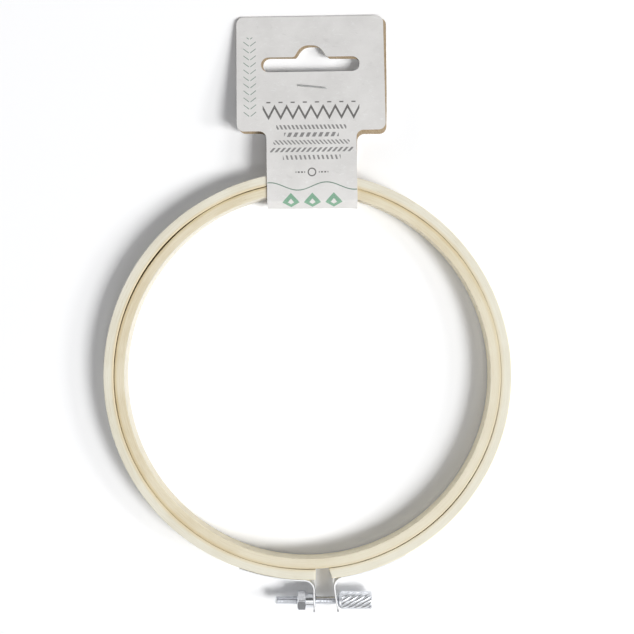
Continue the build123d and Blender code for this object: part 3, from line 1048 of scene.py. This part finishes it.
# The staple
def staple_path():
    """The wire's middle line seen square to its crown, as places along it and over the card."""
    radius = STAPLE_WIRE / 2
    over = CARD_THICKNESS / 2 + radius + STAPLE_SEAT
    under = -(CARD_THICKNESS * 1.5 + CARD_GAP + radius + STAPLE_SEAT)
    half = STAPLE_CROWN / 2
    clinch = half - STAPLE_CLINCH
    left = ((-clinch, under), (-half, under), (-half, over))
    right = ((half, over), (half, under), (clinch, under))
    return filleted(left + right, [STAPLE_BEND] * 4, math.radians(15), 1 * MM)


def make_staple(front, material):
    """A wire bent to a crown and two clinched legs, square to the card's head."""
    from_fold = CARD_LENGTH - STAPLE_FROM_EDGE
    last, before = front[-1], front[-2]
    slope = (last[1] - before[1]) / (last[0] - before[0])
    centre = Vector((
        CARD_SHIFT + STAPLE_OFFSET * math.cos(CARD_TURN) - from_fold * math.sin(CARD_TURN),
        fold_y + STAPLE_OFFSET * math.sin(CARD_TURN) + from_fold * math.cos(CARD_TURN),
        last[1] + slope * (from_fold - last[0]),
    ))
    turn = CARD_TURN + STAPLE_TURN
    across = Vector((math.cos(turn), math.sin(turn), 0))
    up = Vector((0, -slope, 1)).normalized()
    up = (up - across * up.dot(across)).normalized()
    aside = up.cross(across)
    path = staple_path()
    angles = [TAU * k / STAPLE_SIDES for k in range(STAPLE_SIDES)]
    rows = []
    for k, point in enumerate(path):
        step = path[min(k + 1, len(path) - 1)] - path[max(k - 1, 0)]
        step = step / np.linalg.norm(step)
        flat = across * float(-step[1]) + up * float(step[0])
        middle = centre + across * float(point[0]) + up * float(point[1])
        ring = [middle + (flat * math.cos(a) + aside * math.sin(a)) * (STAPLE_WIRE / 2) for a in angles]
        rows.append(np.array([tuple(p) for p in ring]))
    points, faces = capped(rows)
    staple = mesh_object("card_staple_bent", points, faces)
    staple.data.materials.append(material)
    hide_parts("card_staple")
    blend_card(staple)


# CAD nodes that keep their shape
def finish_node(name, material, edge):
    """Gives a CAD node its material and rounded edges."""
    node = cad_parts[name]
    node.data.materials.clear()
    node.data.materials.append(material)
    weld = node.modifiers.new("weld", "WELD")
    weld.merge_threshold = 0.002 * MM
    flat = node.modifiers.new("flat", "DECIMATE")
    flat.decimate_type = "DISSOLVE"
    flat.angle_limit = math.radians(0.5)
    rounding = node.modifiers.new("edges", "BEVEL")
    rounding.width = edge
    rounding.segments = 2
    rounding.limit_method = "ANGLE"
    rounding.angle_limit = math.radians(40)
    rounding.harden_normals = True


# Floor, light and camera
def make_floor():
    """A white floor that keeps the shadows and fades into plain white far from the hoop."""
    corners = [(x * FLOOR_HALF, y * FLOOR_HALF, 0) for x, y in ((-1, -1), (1, -1), (1, 1), (-1, 1))]
    floor = mesh_object("floor", corners, [(0, 1, 2, 3)])
    material, tree, shader = new_material("white_floor")
    path = tree.nodes.new("ShaderNodeLightPath")
    seen = strongest(
        Term(tree, path.outputs[kind]) for kind in ("Is Camera Ray", "Is Glossy Ray", "Is Transmission Ray")
    )
    (x, y, _), _ = pattern_axes(tree)
    far = seen * (x * x + y * y).math("SQRT").ramp(*FLOOR_FADE)
    colour = blend_colours(tree, seen, (FLOOR_SHADE, FLOOR_SHADE, FLOOR_SHADE, 1), (1, 1, 1, 1))
    colour = blend_colours(tree, far, colour, (0, 0, 0, 1))
    plug(tree, shader.inputs["Base Color"], colour)
    shader.inputs["Roughness"].default_value = 1.0
    shader.inputs["Specular IOR Level"].default_value = 0.0
    shader.inputs["Emission Color"].default_value = (1, 1, 1, 1)
    plug(tree, shader.inputs["Emission Strength"], seen * FLOOR_GLOW + far * (1 - FLOOR_GLOW))
    floor.data.materials.append(material)
    floor.location.z = -FLOOR_DROP


def studio_glow(x, y, z):
    """What shiny pieces reflect: walls that are bright below, a dim ceiling and a few bright patches."""
    behind = z.ramp(*BEHIND_GLOW)
    front = z.ramp(*FRONT_GLOW) + z.ramp(*FRONT_CEILING)
    glow = front + (behind - front) * y.ramp(*FRONT_TO_BEHIND) + x.size().ramp(*SIDE_GLOW)
    for direction, patch in PATCHES:
        towards = x * direction[0] + y * direction[1] + z * direction[2]
        glow = glow + towards.ramp(*patch)
    return glow


def make_world():
    """White to the camera, a dim sky for diffuse light, and the studio for reflections."""
    world = bpy.data.worlds.new("studio")
    bpy.context.scene.world = world
    world.use_nodes = True
    tree = world.node_tree
    background = tree.nodes["Background"]
    path = tree.nodes.new("ShaderNodeLightPath")
    to_camera, see_through, glossy = [
        Term(tree, path.outputs[kind]) for kind in ("Is Camera Ray", "Is Transmission Ray", "Is Glossy Ray")
    ]
    to_camera = to_camera.highest(see_through)
    split = tree.nodes.new("ShaderNodeSeparateXYZ")
    tree.links.new(tree.nodes.new("ShaderNodeTexCoord").outputs["Generated"], split.inputs[0])
    x, y, z = [Term(tree, out) for out in split.outputs]
    sky = (z.highest(0.0) * -1.0 + 1.0) * SKY_LOW + SKY_HIGH
    seen = to_camera + glossy * studio_glow(x, y, z)
    unseen = to_camera.highest(glossy) * -1.0 + 1.0
    plug(tree, background.inputs["Strength"], seen + unseen * sky)
    plug(tree, background.inputs["Color"], blend_colours(tree, unseen, (1, 1, 1, 1), SKY_TINT))


def make_lamp(name, azimuth, elevation, width, height, watts):
    light = bpy.data.lights.new(name, "AREA")
    light.shape = "RECTANGLE"
    light.size, light.size_y = width, height
    light.energy = watts
    lamp = bpy.data.objects.new(name, light)
    bpy.context.scene.collection.objects.link(lamp)
    a, e = math.radians(azimuth), math.radians(elevation)
    direction = Vector((math.cos(a) * math.cos(e), math.sin(a) * math.cos(e), math.sin(e)))
    lamp.location = direction * LAMP_DISTANCE
    lamp.rotation_euler = direction.to_track_quat("Z", "Y").to_euler()
    lamp.visible_glossy = False


def make_camera():
    data = bpy.data.cameras.new("camera")
    data.sensor_width = SENSOR_WIDTH
    data.lens = SENSOR_WIDTH * (CAMERA_PLACE[2] - ring_top) * PIXELS_PER_METRE / PHOTO_PIXELS
    data.clip_start, data.clip_end = 0.01, 20.0
    camera = bpy.data.objects.new("camera", data)
    bpy.context.scene.collection.objects.link(camera)
    camera.location = CAMERA_PLACE
    bpy.context.scene.camera = camera


make_camera()
make_floor()
make_world()
for lamp_name, lamp_values in LAMPS.items():
    make_lamp(lamp_name, *lamp_values)
make_inner_ring()
make_outer_ring()
front_line = make_card()
bright = plated_steel("bright_plate", BRIGHT_STEEL, 0.2, (1.0, 0.1, 0.1), 0.8)
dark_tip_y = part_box("left_bracket")[0].y + DARK_TIP_LENGTH
zinc = plated_steel("zinc_plate", ZINC, 0.36, (0.06, 0.3, 1.0), 0.22, dark_tip_y)
wire = plated_steel("staple_wire", WIRE, 0.42, (0.05, 1.0, 1.0), 0.8)
make_screw(bright)
make_nut(bright)
make_staple(front_line, wire)
for side_name in ("left", "right"):
    finish_node(side_name + "_bracket", zinc, BRACKET_EDGE)
    for place_name in ("outer", "inner"):
        finish_node(side_name + "_" + place_name + "_brad", zinc, BRAD_EDGE)

scene = bpy.context.scene
scene.view_settings.view_transform = "Standard"
